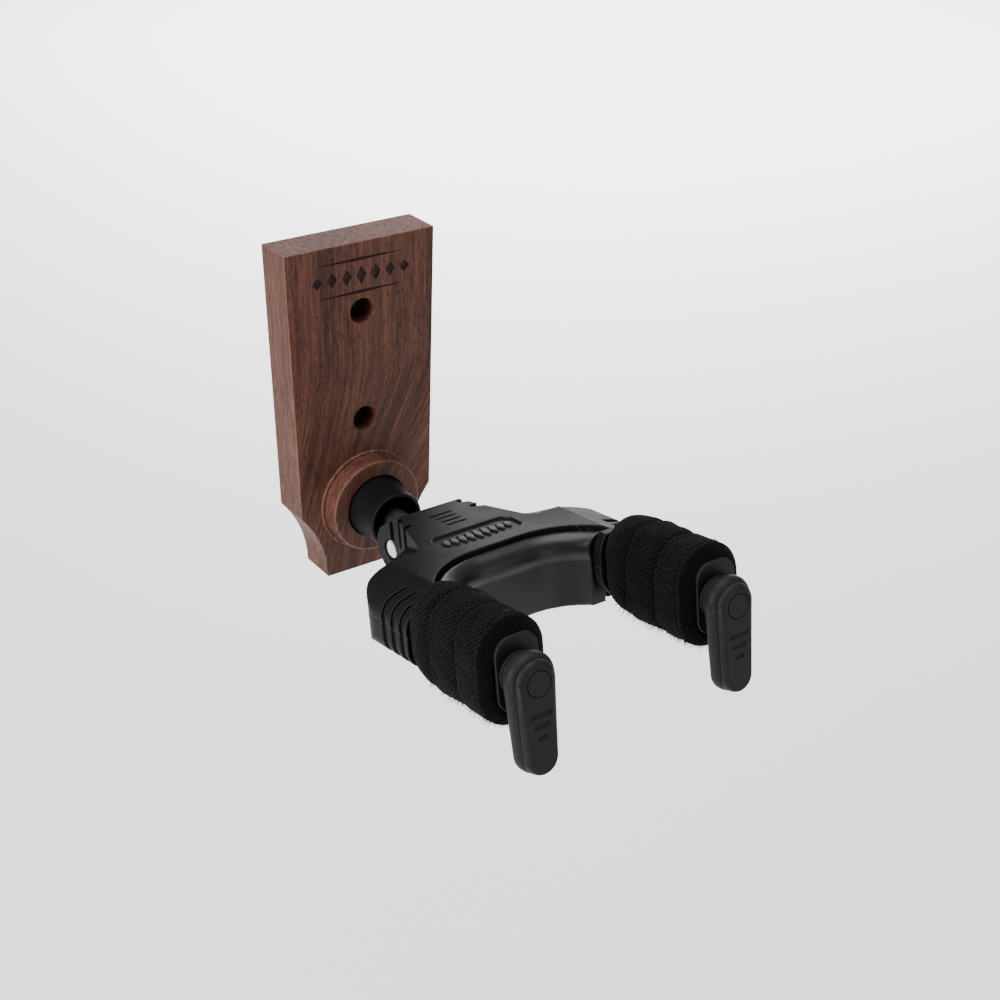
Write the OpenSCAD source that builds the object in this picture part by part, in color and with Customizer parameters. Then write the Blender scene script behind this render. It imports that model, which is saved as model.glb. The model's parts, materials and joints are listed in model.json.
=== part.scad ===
// Wall guitar hanger: a wooden back plate, a swivelling neck and a sprung
// yoke whose two gates swing shut in front of the guitar's neck.
// Millimetres. +X right, +Y into the wall, +Z up. The origin is on the back
// face of the plate, midway between the two wall-screw holes.

/* [Back plate] */
// Width of the plate along its top edge
plate_top_w = 76; // [72:1:90]
// Width of the plate where its straight sides end
plate_low_w = 70; // [66:1:76]
// Overall height of the plate
plate_h = 163; // [160:1:175]
// Thickness of the plate
plate_t = 20.3; // [19:0.1:24]
// Width of the foot under the scooped corners
foot_w = 44.4; // [40:0.1:50]
// Height of the scooped foot
foot_h = 34.5; // [30:0.5:38]
// Distance from the top edge to the upper wall-screw hole
top_hole_drop = 32.5; // [25:0.5:36]
// Distance between the two wall-screw holes
wall_hole_spacing = 53; // [45:1:56]
// Diameter of each wall-screw hole
wall_hole_d = 5.5; // [4.5:0.1:6.5]
// Diameter of the counterbore in front of each wall-screw hole
counterbore_d = 12; // [10:0.5:14]
// Radius of the raised round boss behind the neck
boss_r = 23; // [21:0.5:24]
// Height of the boss above the plate
boss_h = 9.4; // [8:0.1:11]

/* [Neck] */
// Height of the swivel axis below the top edge of the plate
swivel_drop = 127; // [124:0.5:130]
// Radius of the neck sleeve at the wood
sleeve_back_r = 14.8; // [14:0.1:15.5]
// Radius of the neck sleeve at its open rim
sleeve_rim_r = 13.3; // [12.8:0.1:13.8]
// Distance of the sleeve's rim from the wall
sleeve_rim_y = 47; // [44:0.5:49]
// Distance of the tilt pin from the wall
pin_y = 68; // [67:0.5:74]
// Radius of the tilt pin
pin_r = 4; // [3.6:0.1:4.2]

/* [Yoke] */
// Distance of each arm's axis from the middle
arm_x = 48.3; // [48:0.1:50]
// Height of the arm axes above the tilt pin
arm_z = 4.2; // [4:0.1:4.4]
// Height of the flat top above the tilt pin
top_z = 17.5; // [17.2:0.1:18]
// Half-width of the shell across its shoulders
side_x = 62.5; // [62:0.1:64]
// Wall thickness of the shells
wall = 2.6; // [2.2:0.1:2.8]

/* [Pads] */
// Half-width of each padded sleeve
pad_hw = 15.7; // [15:0.1:16]
// Half-height of each padded sleeve
pad_hh = 22.3; // [21:0.1:24]
// Thickness of the knitted sleeve
knit_t = 1.3; // [1:0.1:1.6]

/* [Gates] */
// Distance from the gate's pivot to its tip
gate_reach = 38.7; // [34:0.1:40]
// Radius of the gate body around its pivot
gate_boss_r = 10.8; // [10.4:0.1:11.4]
// Radius of the gate body at its tip
gate_tip_r = 8.7; // [8:0.1:9.5]

/* [Hidden] */
$fn = 96;

eps = 0.01;
hair = 0.03;
slip = 0.02;                    // radial gap of a fixed fit
run = 0.05;                     // radial gap of a running fit
plastic = [0.11, 0.11, 0.12];
knit = [0.06, 0.06, 0.065];
steel = [0.75, 0.76, 0.78];
LEFT = -1;
RIGHT = 1;

// Back plate
top_edge_z = wall_hole_spacing / 2 + top_hole_drop;
swivel_z = top_edge_z - swivel_drop;
foot_z = top_edge_z - plate_h;
scoop_step = (plate_low_w - foot_w) / 2;
scoop_r = (foot_h * foot_h + scoop_step * scoop_step) / (2 * scoop_step);
boss_y = plate_t + boss_h;
socket_r = sleeve_back_r + 0.6; // bore in the boss around the sleeve
socket_floor = 16;
nut_recess_depth = 8;
bush_r = 7;
tail_r = 5;                     // swivel end of the post

// Neck stack, as distances from the wall
flange_y = 17.5;
washer_y = 19;
sleeve_floor_y = 22;
post_shoulder_y = 26;
post_r = 5.6;

// Yoke, in its own frame: origin on the tilt pin, -Y towards the arms' ends
rest_pitch = 9;                 // upward pitch when nothing hangs in it
neck_hw = 16.5;                 // half-width of the neck at the pin
knuckle_r = 11.4;
neck_floor_z = -11.4;
floor_z = -17;
crease_x = 43.3;
crease_step = 0.45;             // drop from the flat top to the sloping side
shoulder_y = -47.6;
shoulder_r = 16;
upper_round_r = 9;
lower_round_r = 8;
upper_round_z = 5;
lower_round_z = -4;
floor_edge_x = 38;
plateau_rear_y = -8;
arm_start_y = -88.5;            // front face of the shells
split_z = 3;                    // parting plane of the two shells
split_neck_z = -7;              // parting plane under the neck
u_half_flat = 12;               // straight middle of the cradle
u_r = 36;                       // radius of its two corners
u_y = -63;                      // its deepest point
liner_end_y = -81;
liner_bulge = 8;
collar_hw = 14.6;
collar_hh = 18;
core_hw = 9.8;                  // arm tube, half-width and half-height
core_hh = 15.4;
core_wall = 2.4;
core_start_y = -66;
spigot_r = 8;                   // round end of the arm tube in the shells
spigot_end_y = -88.5;
plate_back_y = -141.6;          // end plate
plate_front_y = -144.7;
pad_start_y = -88.8;
pad_end_y = -143.9;
pad_drop = 0.8;                 // the pad's centre below the arm axis
hub_y = -145.7;
gate_back_y = -148.1;
gate_mid_y = -154.6;
gate_face_y = -157.6;
shaft_r = 4;
shaft_rear_y = -59;
shaft_front_y = -150;
crank_throw = 6;
peg_r = 2;
bar_z = 8.35;                    // height of the fork slots on the drive bar
bar_y = -54;
slot_play = 0.85;               // the bar tilts against the pegs
tang_z = -2.5;                  // underside of the post's tang
spring_wire = 0.7;
spring_r = 6.3;
spring_turns = 3;
spring_pitch = 1.7;
spring_x = 7.4;                 // first coil
screw_spots = [[16, -36], [57.6, -62.5]];

// The point where a line from p touches a circle, on the side given by turn,
// moved a hair inside so that the line and the circle cross cleanly
function tangent(p, c, r, turn) =
    let (d = p - c,
         a = atan2(d[1], d[0]) + turn * acos(r / norm(d)))
    c + (r - hair) * [cos(a), sin(a)];

module both_sides() {
    children();
    mirror([1, 0, 0]) children();
}

// Extrudes a profile drawn in (x, z) from y = 0 towards -Y
module out_of_wall(depth) {
    rotate([90, 0, 0]) linear_extrude(depth) children();
}

// Turned part about the swivel axis: profile x is the radius, profile y the
// distance from the wall
module swivel_turned() {
    translate([0, 0, swivel_z]) rotate([90, 0, 0]) rotate_extrude() children();
}

module in_post() {
    translate([0, -pin_y, swivel_z]) children();
}

module in_yoke() {
    in_post() rotate([-rest_pitch, 0, 0]) children();
}

// Cylinder along Y between two places
module rod_y(r, from_y, to_y) {
    translate([0, max(from_y, to_y), 0]) rotate([90, 0, 0])
        cylinder(r = r, h = abs(to_y - from_y));
}

// Cylinder along X, centred
module rod_x(r, length) {
    rotate([0, 90, 0]) cylinder(r = r, h = length, center = true);
}

module slab_y(from_y, to_y) {
    translate([0, max(from_y, to_y), 0]) rotate([90, 0, 0])
        linear_extrude(abs(to_y - from_y)) children();
}

// ---- Back plate ----

module plate_outline() {
    half_top = plate_top_w / 2;
    taper = (plate_top_w - plate_low_w) / 2 / (plate_h - foot_h);
    half_foot = half_top - taper * plate_h;
    difference() {
        polygon([[-half_top, top_edge_z], [half_top, top_edge_z],
                 [half_foot, foot_z], [-half_foot, foot_z]]);
        both_sides() translate([foot_w / 2 + scoop_r, foot_z]) circle(scoop_r);
    }
}

// A low step, then a disc with a rounded edge
module boss_profile() {
    ease = 1.6;
    square([boss_r + ease, plate_t + 1.2]);
    square([boss_r, boss_y - ease]);
    square([boss_r - ease, boss_y]);
    translate([boss_r - ease, boss_y - ease]) circle(ease);
}

// Generic engraved ornament: a row of diamonds between two tapered bars
module ornament() {
    for (i = [-3:3]) translate([i * 7.4, 0])
        polygon([[-2.6, 0], [0, 4.4 - abs(i) * 0.5], [2.6, 0], [0, -4.4 + abs(i) * 0.5]]);
    for (z = [-7.6, 7.6])
        polygon([[-24, z], [0, z - 0.8], [24, z], [0, z + 0.8]]);
}

module backplate() {
    color([0.36, 0.17, 0.12]) difference() {
        union() {
            out_of_wall(plate_t) plate_outline();
            swivel_turned() difference() {
                boss_profile();
                square([boss_r * 2, plate_t / 2]);
            }
        }
        translate([0, -plate_t + 0.8, top_edge_z - 15.5]) out_of_wall(2) ornament();
        for (z = [-0.5, 0.5] * wall_hole_spacing) translate([0, 0, z]) {
            rod_y(wall_hole_d / 2, 1, -plate_t - 1);
            rod_y(counterbore_d / 2, -7, -plate_t - 1);
        }
        translate([0, 0, swivel_z]) {
            rod_y(socket_r, -socket_floor, -boss_y - 1);
            rod_y(bush_r + slip, 1, -boss_y);
            rod_y(14, 1, -nut_recess_depth);
        }
    }
}

module swivel_bush() {
    color(steel) translate([0, 0, swivel_z]) difference() {
        union() {
            rod_y(bush_r, -nut_recess_depth, -socket_floor - 1);
            rod_y(12.5, -socket_floor, -flange_y);
        }
        rod_y(tail_r + run, 1, -flange_y - 1);
    }
}

// ---- Neck ----

module swivel_washer() {
    color(steel) translate([0, 0, swivel_z]) difference() {
        rod_y(12, -flange_y - run, -washer_y);
        rod_y(tail_r + slip, 0, -washer_y - 1);
    }
}

module friction_washer() {
    color(steel) translate([0, 0, swivel_z]) difference() {
        rod_y(11, -nut_recess_depth + run, -nut_recess_depth + 1.6);
        rod_y(tail_r + slip, 1, -nut_recess_depth - 1);
    }
}

module lock_nut() {
    color(steel) translate([0, 0, swivel_z]) difference() {
        translate([0, -0.9, 0]) rotate([90, 0, 0])
            cylinder(d = 17 / cos(30), h = nut_recess_depth - 2.5, $fn = 6);
        rod_y(tail_r + slip, 1, -nut_recess_depth);
    }
}

module post_eye() {
    rod_x(9, 12);
    translate([-6, -32, tang_z]) cube([12, 32, 5 - tang_z]);
    translate([-6, 0, -6]) cube([12, 9, 12]);
}

module neck_post() {
    color([0.3, 0.3, 0.32]) union() {
        translate([0, 0, swivel_z]) {
            rod_y(tail_r, -0.5, -sleeve_floor_y - 1);
            rod_y(9, -sleeve_floor_y, -post_shoulder_y);
            rod_y(post_r, -post_shoulder_y, -pin_y + 8);
        }
        in_post() difference() {
            post_eye();
            rod_x(pin_r + run, 20);
            for (y = drive_screw_y()) translate([0, y, 0]) cylinder(r = 1.52, h = 8);
        }
    }
}

// Conical cup around the post, open towards the yoke
module neck_sleeve() {
    thin = 1.3;
    color(plastic) swivel_turned() difference() {
        polygon([[tail_r + slip, washer_y], [sleeve_back_r, washer_y],
                 [sleeve_back_r, boss_y + 1], [sleeve_rim_r, sleeve_rim_y],
                 [0, sleeve_rim_y], [0, sleeve_floor_y],
                 [tail_r + slip, sleeve_floor_y]]);
        polygon([[0, sleeve_floor_y], [sleeve_back_r - 2.4, sleeve_floor_y],
                 [sleeve_back_r - 2.4, boss_y + 1],
                 [sleeve_rim_r - thin, sleeve_rim_y - 1],
                 [sleeve_rim_r - thin, sleeve_rim_y + 1], [0, sleeve_rim_y + 1]]);
    }
}

function drive_screw_y() = [-21, -28];

// T-shaped bar that holds still while the yoke tilts, and turns the cranks
module drive_bar() {
    stem_z = 5;
    stem_t = 4;
    reach = arm_x - 0.7;
    color([0.4, 0.4, 0.42]) in_post() difference() {
        union() {
            translate([-6, bar_y, stem_z]) cube([12, -16 - bar_y, stem_t]);
            translate([-reach, bar_y - 2.5, bar_z - 5]) cube([2 * reach, 5, 8.8]);
        }
        both_sides() translate([reach - 8, bar_y - 5, bar_z - peg_r - slot_play])
            cube([10, 10, 2 * (peg_r + slot_play)]);
        for (y = drive_screw_y()) translate([0, y, 0]) cylinder(r = 1.7, h = 20);
    }
}

module drive_screws() {
    color(steel) in_post() for (y = drive_screw_y()) translate([0, y, 0]) {
        translate([0, 0, 0.5]) cylinder(r = 1.5, h = 8.6);
        difference() {
            translate([0, 0, 9]) cylinder(r = 3, h = 2);
            translate([0, 0, 10]) cylinder(r = 1.3, h = 2, $fn = 6);
        }
    }
}

// ---- Yoke shells ----

// Half of the shell's outline seen from above, x > 0, grown by -inset
module half_plan(inset = 0) {
    translate([-eps, 0]) square([neck_hw - inset + eps, knuckle_r + 2]);
    polygon([[-eps, knuckle_r - inset], [neck_hw - inset, knuckle_r - inset],
             [neck_hw - inset, -7], [18.9 - inset, -16], [20.5 - inset, -22.2],
             [27 - inset, -43], [31 - inset, shoulder_y - inset],
             [side_x - shoulder_r, shoulder_y - inset],
             [side_x - inset, shoulder_y - shoulder_r],
             [side_x - inset, arm_start_y + inset], [-eps, arm_start_y + inset]]);
    translate([side_x - shoulder_r, shoulder_y - shoulder_r])
        circle(shoulder_r - inset);
}

module plan(inset = 0) {
    both_sides() half_plan(inset);
}

// Cross-section of the shell seen from the front
module front_section(inset = 0) {
    c1 = [side_x - upper_round_r, upper_round_z];
    c2 = [side_x - lower_round_r, lower_round_z];
    r1 = upper_round_r - inset;
    r2 = lower_round_r - inset;
    crease = [crease_x, top_z - inset];
    ledge = [crease_x, top_z - crease_step - inset];
    sole = [floor_edge_x, floor_z + inset];
    both_sides() {
        polygon([[-eps, crease[1]], crease, ledge, tangent(ledge, c1, r1, -1),
                 c1 + [r1, 0], c2 + [r2, 0], tangent(sole, c2, r2, 1),
                 sole, [-eps, sole[1]]]);
        translate(c1) circle(r1);
        translate(c2) circle(r2);
    }
}

// Side view of the shell, drawn as (y, z)
module side_section(inset = 0) {
    r = knuckle_r - inset;
    rear = [plateau_rear_y, top_z - inset];
    polygon([rear, tangent(rear, [0, 0], r, -1), [0, 0], [0, neck_floor_z + inset],
             [-38, neck_floor_z + inset], [-50, floor_z + inset],
             [arm_start_y + inset, floor_z + inset],
             [arm_start_y + inset, top_z - inset]]);
    circle(r);
}

module along_x(half) {
    translate([-half, 0, 0]) rotate([90, 0, 90]) linear_extrude(2 * half) children();
}

// The space between the arms that the cradle is cut from
module cradle_cut(grow = 0) {
    r = u_r + grow;
    translate([0, u_y - u_r]) {
        both_sides() {
            translate([-eps, -60]) square([u_half_flat + eps, 60 + r]);
            translate([u_half_flat, 0]) circle(r);
            translate([-eps, -60]) square([u_half_flat + r + eps, 60]);
        }
    }
}

module stadium(hw, hh) {
    for (s = [-1, 1]) translate([0, s * (hh - hw)]) circle(hw);
    square([2 * hw, 2 * (hh - hw)], center = true);
}

module yoke_blank(inset = 0) {
    intersection() {
        translate([0, 0, -30]) linear_extrude(60) plan(inset);
        translate([0, 30, 0]) out_of_wall(140) front_section(inset);
        along_x(80) side_section(inset);
    }
}

// Sloping web between the neck's flank and each shoulder
module shoulder_webs() {
    intersection() {
        along_x(80) polygon([[-24, 3.4], [-24, 9.5], [shoulder_y, top_z - 0.4],
                             [shoulder_y - 2, top_z - 0.4], [shoulder_y - 2, 3.4]]);
        translate([0, 0, -30]) linear_extrude(60) both_sides()
            polygon([[18.5, -20], [crease_x, shoulder_y], [crease_x, shoulder_y - 2],
                     [24, shoulder_y - 2]]);
    }
}

// Rounds the inner side of each shell end like the pad behind it
module collar_trim() {
    slab_y(liner_end_y, arm_start_y - 1) both_sides() difference() {
        translate([20, -40]) square([arm_x - 20, 80]);
        translate([arm_x, arm_z]) stadium(collar_hw, collar_hh);
    }
}

// Notches on the neck's flanks, forward-raked like barbs
module flank_notches() {
    both_sides() for (n = [[-1.4, 14.2, 5.5], [-9.8, 14.2, 4.5], [-18.4, 15.2, 3.5]])
        translate([0, 0, n[2]]) linear_extrude(40)
            polygon([[30, n[0]], [n[1], n[0]], [n[1], n[0] - 2.2], [30, n[0] - 7.4]]);
}

// Stepped grooves around the outer side of each shoulder
module shoulder_grooves() {
    for (y = [-69.6, -76.4, -83]) groove_step(y, y - 1.7, 1.5);
    for (y = [-71.3, -78.1, -84.7]) groove_step(y, y - 2.2, 0.7);
}

module groove_step(from_y, to_y, depth) {
    both_sides() slab_y(from_y, to_y) difference() {
        translate([49.5, -20]) square([20, 60]);
        front_section(depth);
    }
}

// Generic row of raised lozenges in a sunk panel
module badge_panel() {
    sunk = 1;
    translate([0, 0, top_z - sunk]) linear_extrude(5) difference() {
        polygon([[-17, -39.6], [17, -39.6], [20.2, -43], [20.2, -52],
                 [16, -56], [-16, -56], [-20.2, -52], [-20.2, -43]]);
        for (i = [-4:4]) translate([i * 3.9, -47.8])
            polygon([[-1.6, 0], [0, 5 - abs(i) * 0.5], [1.6, 0], [0, -5 + abs(i) * 0.5]]);
    }
}

module top_grooves() {
    for (i = [0:3]) translate([0, -18.3 - 4.35 * i, top_z + 4.2])
        cube([i == 0 ? 11.6 : 9.8, 1.2, 10], center = true);
}

module yoke_hollow() {
    difference() {
        yoke_blank(wall);
        translate([0, 0, -40]) linear_extrude(80) intersection() {
            cradle_cut(wall);
            translate([-80, arm_start_y]) square([160, 120]);
        }
        // Cheeks that carry the pin
        both_sides() translate([13.4, -28, -30]) cube([10, 54, 60]);
        both_sides() for (s = screw_spots) translate([s[0], s[1], -40])
            cylinder(r = 2.9, h = 80);
    }
}

// The post and the pin need room in the neck
module neck_room() {
    rod_x(9.7, 26.8);
    translate([-7, -2, -7.6]) cube([14, 20, 16.2]);
    rod_x(pin_r + slip, 60);
    both_sides() translate([neck_hw - 0.9, 0, 0]) rotate([0, 90, 0]) cylinder(r = 5.1, h = 9);
}

// Everything the two shells share before they are parted
module yoke_body() {
    difference() {
        union() {
            yoke_blank();
            shoulder_webs();
        }
        collar_trim();
        difference() {
            yoke_hollow();
            // Ring that grips each arm tube at its front
            both_sides() slab_y(arm_start_y - 1, arm_start_y + 5.2)
                translate([arm_x - 20, -30]) square([40, 60]);
            // Web that carries each arm tube's rear end
            both_sides() slab_y(core_start_y - 6, core_start_y - 3)
                translate([34, -30]) square([40, 60]);
        }
        translate([0, 0, -40]) linear_extrude(80) difference() {
            cradle_cut();
            translate([-90, arm_start_y - 30]) square([180, 30 + 4.5]);
        }
        translate([0, 0, -40]) linear_extrude(80)
            translate([-33.6, arm_start_y - 1]) square([67.2, 20]);
        both_sides() translate([arm_x, 0, arm_z])
            rod_y(spigot_r + slip, core_start_y, arm_start_y - 1);
        neck_room();
        flank_notches();
        shoulder_grooves();
        badge_panel();
        top_grooves();
    }
}

// Side view of the parting surface; the neck belongs to the upper shell
module above_split() {
    along_x(80) polygon([[40, split_neck_z], [-38, split_neck_z], [-46, split_z],
                         [-100, split_z], [-100, 40], [40, 40]]);
}

module upper_shell() {
    color(plastic) in_yoke() difference() {
        intersection() {
            yoke_body();
            above_split();
        }
        screw_pilots();
    }
}

module lower_shell() {
    color(plastic) in_yoke() difference() {
        yoke_body();
        above_split();
        screw_pilots();
    }
}

module screw_pilots() {
    both_sides() for (s = screw_spots) translate([s[0], s[1], 0]) {
        translate([0, 0, -30]) cylinder(r = 1.3, h = 41);
        translate([0, 0, -30]) cylinder(r = 2.6, h = 30 + screw_head_z(s));
    }
}

// Height of a shell screw's head seat
function screw_head_z(s) = s[0] < 30 ? neck_floor_z + 2.2 : lower_round_z - 3.4;

module shell_screws() {
    color(steel) in_yoke() both_sides() for (s = screw_spots)
        translate([s[0], s[1], screw_head_z(s)]) {
            translate([0, 0, -1.7]) cylinder(r = 2.5, h = 1.7);
            cylinder(r = 1.28, h = 15);
        }
}

// Smooth lip with a rolled top, set into the cradle
module liner_section() {
    outer = u_r - 1.2;
    inner = u_r - liner_bulge;
    intersection() {
        union() {
            translate([u_r, 8.3]) circle(liner_bulge);
            translate([inner + 0.8, floor_z]) square([outer - inner - 0.8, 25]);
        }
        translate([inner - 1, floor_z]) square([outer - inner + 1, top_z - floor_z - 1.8]);
    }
}

module cradle_liner() {
    color(plastic) in_yoke() difference() {
        translate([0, u_y - u_r, 0]) {
            both_sides() translate([u_half_flat, 0, 0])
                rotate_extrude(angle = 90) liner_section();
            translate([-u_half_flat, 0, 0]) rotate([90, 0, 90])
                linear_extrude(2 * u_half_flat) liner_section();
        }
        translate([-60, liner_end_y - 60, -40]) cube([120, 60, 80]);
        both_sides() translate([arm_x, 0, arm_z])
            rod_y(spigot_r + 0.3, core_start_y, arm_start_y);
    }
}

// ---- Pivot ----

module pivot_pin() {
    color([0.93, 0.93, 0.95]) in_yoke() union() {
        rod_x(pin_r, 2 * (neck_hw - 0.9));
        rod_x(pin_r - 0.5, 2 * (neck_hw - 0.5));
    }
}

module pivot_bushes() {
    color(steel) in_yoke() both_sides() difference() {
        translate([6.1, 0, 0]) rotate([0, 90, 0]) cylinder(r = 4.8, h = 7.2);
        rod_x(pin_r + slip, 40);
    }
}

// Torsion spring on each side of the post's eye
function coil_point(t) = [spring_x + spring_pitch * t,
    -spring_r * cos(360 * t), spring_r * sin(360 * t)];
function coil_path() = concat(
    [[spring_x, -spring_r, -7.3]],
    [for (i = [0:20 * spring_turns]) coil_point(i / 20)],
    [[spring_x + spring_pitch * spring_turns, -spring_r, 8.6]]);

// Sweeps an eight-sided tube along a path
module sweep(path, r) {
    sides = 8;
    last = len(path) - 1;
    rings = [for (i = [0:last])
        let (t = path[min(i + 1, last)] - path[max(i - 1, 0)],
             d = t / norm(t),
             u = cross(d, [1, 0, 0]) / norm(cross(d, [1, 0, 0])),
             v = cross(d, u))
        for (k = [0:sides - 1])
            path[i] + r * (u * cos(360 * k / sides) + v * sin(360 * k / sides))];
    skin = [for (i = [0:last - 1], k = [0:sides - 1])
        let (a = i * sides + k, b = i * sides + (k + 1) % sides)
        [a, a + sides, b + sides, b]];
    caps = [[for (k = [0:sides - 1]) k],
            [for (k = [sides - 1:-1:0]) last * sides + k]];
    polyhedron(rings, concat(skin, caps));
}

module return_springs() {
    color(steel) in_yoke() both_sides() sweep(coil_path(), spring_wire);
}

// ---- Arms and pads ----

module at_arm(side) {
    in_yoke() translate([side * arm_x, 0, arm_z]) children();
}

module arm_tube(side) {
    color([0.2, 0.2, 0.21]) at_arm(side) difference() {
        union() {
            rod_y(spigot_r, core_start_y, spigot_end_y - 1);
            slab_y(spigot_end_y, plate_back_y) stadium(core_hw, core_hh);
        }
        slab_y(spigot_end_y - core_wall, plate_back_y + 7)
            stadium(core_hw - core_wall, core_hh - core_wall);
        rod_y(6.5 + slip, core_start_y + 1, plate_back_y - 1);
    }
}

module bush(from_y, to_y) {
    color([0.13, 0.13, 0.14]) difference() {
        rod_y(6.5, from_y, to_y);
        rod_y(shaft_r + run, from_y + 1, to_y - 1);
    }
}

module rear_bush(side) {
    at_arm(side) bush(core_start_y, core_start_y - 7);
}

module front_bush(side) {
    at_arm(side) union() {
        bush(plate_back_y + 7, plate_front_y);
        color([0.13, 0.13, 0.14]) difference() {
            rod_y(8.8, plate_front_y, hub_y + run);
            rod_y(shaft_r + run, 0, hub_y - 1);
        }
    }
}

module end_plate_outline(grow = 0) {
    hw = 9.8 + grow;
    hh = 15.5 + grow;
    r = 7.4 + grow;
    for (sx = [-1, 1], sz = [-1, 1])
        translate([sx * (hw - r), sz * (hh - r)]) circle(r);
    square([2 * hw, 2 * (hh - r)], center = true);
    square([2 * (hw - r), 2 * hh], center = true);
}

module end_plate(side) {
    color([0.16, 0.16, 0.17]) at_arm(side) difference() {
        slab_y(plate_back_y, plate_front_y) end_plate_outline();
        rod_y(6.5 + slip, 0, plate_front_y - 1);
    }
}

// Room for the arm tube and its end plate inside a pad
module pad_bore(gap) {
    slab_y(0, pad_end_y - 1) stadium(core_hw + gap, core_hh + gap);
    slab_y(plate_back_y + gap, pad_end_y - 1) end_plate_outline(gap);
    rod_y(spigot_r + gap, 0, spigot_end_y - 1 - gap);
}

// Pad outline, narrower towards the shells, shrunk by inset
module pad_blank(inset) {
    translate([0, 0, -pad_drop]) {
        slab_y(pad_start_y - 9 - inset, pad_end_y + 2.4 + inset)
            stadium(pad_hw - inset, pad_hh - inset);
        slab_y(pad_start_y - inset, pad_end_y + inset)
            stadium(pad_hw - 2 - inset, pad_hh - 2.4 - inset);
    }
}

module pad_foam(side) {
    color([0.25, 0.25, 0.25]) at_arm(side) difference() {
        pad_blank(knit_t);
        pad_bore(0.15);
    }
}

// Knitted sleeve pulled over the foam and tucked in at both ends
module pad_sleeve(side) {
    color(knit) at_arm(side) difference() {
        pad_blank(0);
        pad_blank(knit_t);
        pad_bore(0.3);
    }
}

// ---- Gates ----

module gate_shaft(side) {
    color(steel) at_arm(side) difference() {
        rod_y(shaft_r, shaft_rear_y, shaft_front_y);
        rod_y(1.62, shaft_front_y + 9, shaft_front_y - 1);
    }
}

// Lever with a peg that rides in the drive bar's fork slot
module gate_crank(side) {
    peg = [-side * crank_throw * cos(45), -crank_throw * sin(45)];
    color([0.5, 0.5, 0.52]) at_arm(side) difference() {
        union() {
            rod_y(6.2, shaft_rear_y, shaft_rear_y - 4);
            translate([peg[0], 0, peg[1]]) {
                rod_y(3.2, shaft_rear_y, shaft_rear_y - 4);
                rod_y(peg_r, shaft_rear_y - 1, bar_y + 2.2);
            }
        }
        rod_y(shaft_r + slip, 0, shaft_rear_y - 9);
    }
}

// Outline that tapers from radius r1 at the pivot to r2 at the tip
module gate_outline(r1, r2) {
    drop = gate_reach - (gate_tip_r + r2) / 2;
    lean = asin((r1 - r2) / drop);
    upper = (r1 - hair) * [cos(lean), -sin(lean)];
    lower = (r2 - hair) * [cos(lean), -sin(lean)] - [0, drop];
    circle(r1);
    translate([0, -drop]) circle(r2);
    polygon([upper, lower, [-lower[0], lower[1]], [-upper[0], upper[1]]]);
}

module gate_body(side) {
    color(plastic) at_arm(side) difference() {
        union() {
            rod_y(8.6, hub_y, gate_back_y);
            slab_y(gate_back_y, gate_mid_y + 3.6) gate_outline(gate_boss_r, gate_tip_r);
            slab_y(gate_back_y, gate_mid_y + 1.6)
                gate_outline(gate_boss_r - 0.6, gate_tip_r - 0.3);
            slab_y(gate_back_y, gate_mid_y)
                gate_outline(gate_boss_r - 1.4, gate_tip_r - 0.7);
        }
        rod_y(shaft_r + slip, 0, shaft_front_y);
        rod_y(1.7, 0, gate_face_y);
        rod_y(3.6, shaft_front_y - 1.6, gate_face_y);
    }
}

// Front cover of a gate, with a sunk cap and three grooves of falling length
module gate_cover(side) {
    color([0.14, 0.14, 0.15]) at_arm(side) difference() {
        for (i = [0:2])
            slab_y(gate_mid_y, gate_face_y + 2 - i)
                gate_outline(gate_boss_r - 2 - 1.1 * i, gate_tip_r - 0.7 - 0.7 * i);
        rod_y(5.4, gate_face_y + 0.6, gate_face_y - 1);
        rod_y(5.02, gate_mid_y - 0.6, gate_face_y - 1);
        rod_y(3.6, 0, gate_face_y - 1);
        for (i = [0:2]) translate([0, gate_face_y, -12.2 - 4.6 * i])
            cube([9.6 - 2.2 * i, 1, 2.5], center = true);
    }
}

module gate_screw(side) {
    seat = shaft_front_y - 1.6;
    color(steel) at_arm(side) difference() {
        union() {
            rod_y(1.6, shaft_front_y + 8, seat);
            rod_y(3.4, seat, seat - 2.4);
        }
        translate([0, seat - 1.2, 0]) rotate([90, 0, 0]) cylinder(r = 1.6, h = 3, $fn = 6);
    }
}

module gate_cap(side) {
    color([0.13, 0.13, 0.14]) at_arm(side) rod_y(5, gate_mid_y - 0.7, gate_face_y - 0.1);
}

backplate();
swivel_bush();
swivel_washer();
friction_washer();
lock_nut();
neck_post();
neck_sleeve();
drive_bar();
drive_screws();
upper_shell();
lower_shell();
cradle_liner();
shell_screws();
pivot_pin();
pivot_bushes();
return_springs();
arm_tube(LEFT);  // arm_tube_left
arm_tube(RIGHT);  // arm_tube_right
rear_bush(LEFT);  // rear_bush_left
rear_bush(RIGHT);  // rear_bush_right
front_bush(LEFT);  // front_bush_left
front_bush(RIGHT);  // front_bush_right
end_plate(LEFT);  // end_plate_left
end_plate(RIGHT);  // end_plate_right
pad_foam(LEFT);  // pad_foam_left
pad_foam(RIGHT);  // pad_foam_right
pad_sleeve(LEFT);  // pad_sleeve_left
pad_sleeve(RIGHT);  // pad_sleeve_right
gate_shaft(LEFT);  // gate_shaft_left
gate_shaft(RIGHT);  // gate_shaft_right
gate_crank(LEFT);  // gate_crank_left
gate_crank(RIGHT);  // gate_crank_right
gate_body(LEFT);  // gate_body_left
gate_body(RIGHT);  // gate_body_right
gate_cover(LEFT);  // gate_cover_left
gate_cover(RIGHT);  // gate_cover_right
gate_screw(LEFT);  // gate_screw_left
gate_screw(RIGHT);  // gate_screw_right
gate_cap(LEFT);  // gate_cap_left
gate_cap(RIGHT);  // gate_cap_right
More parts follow.
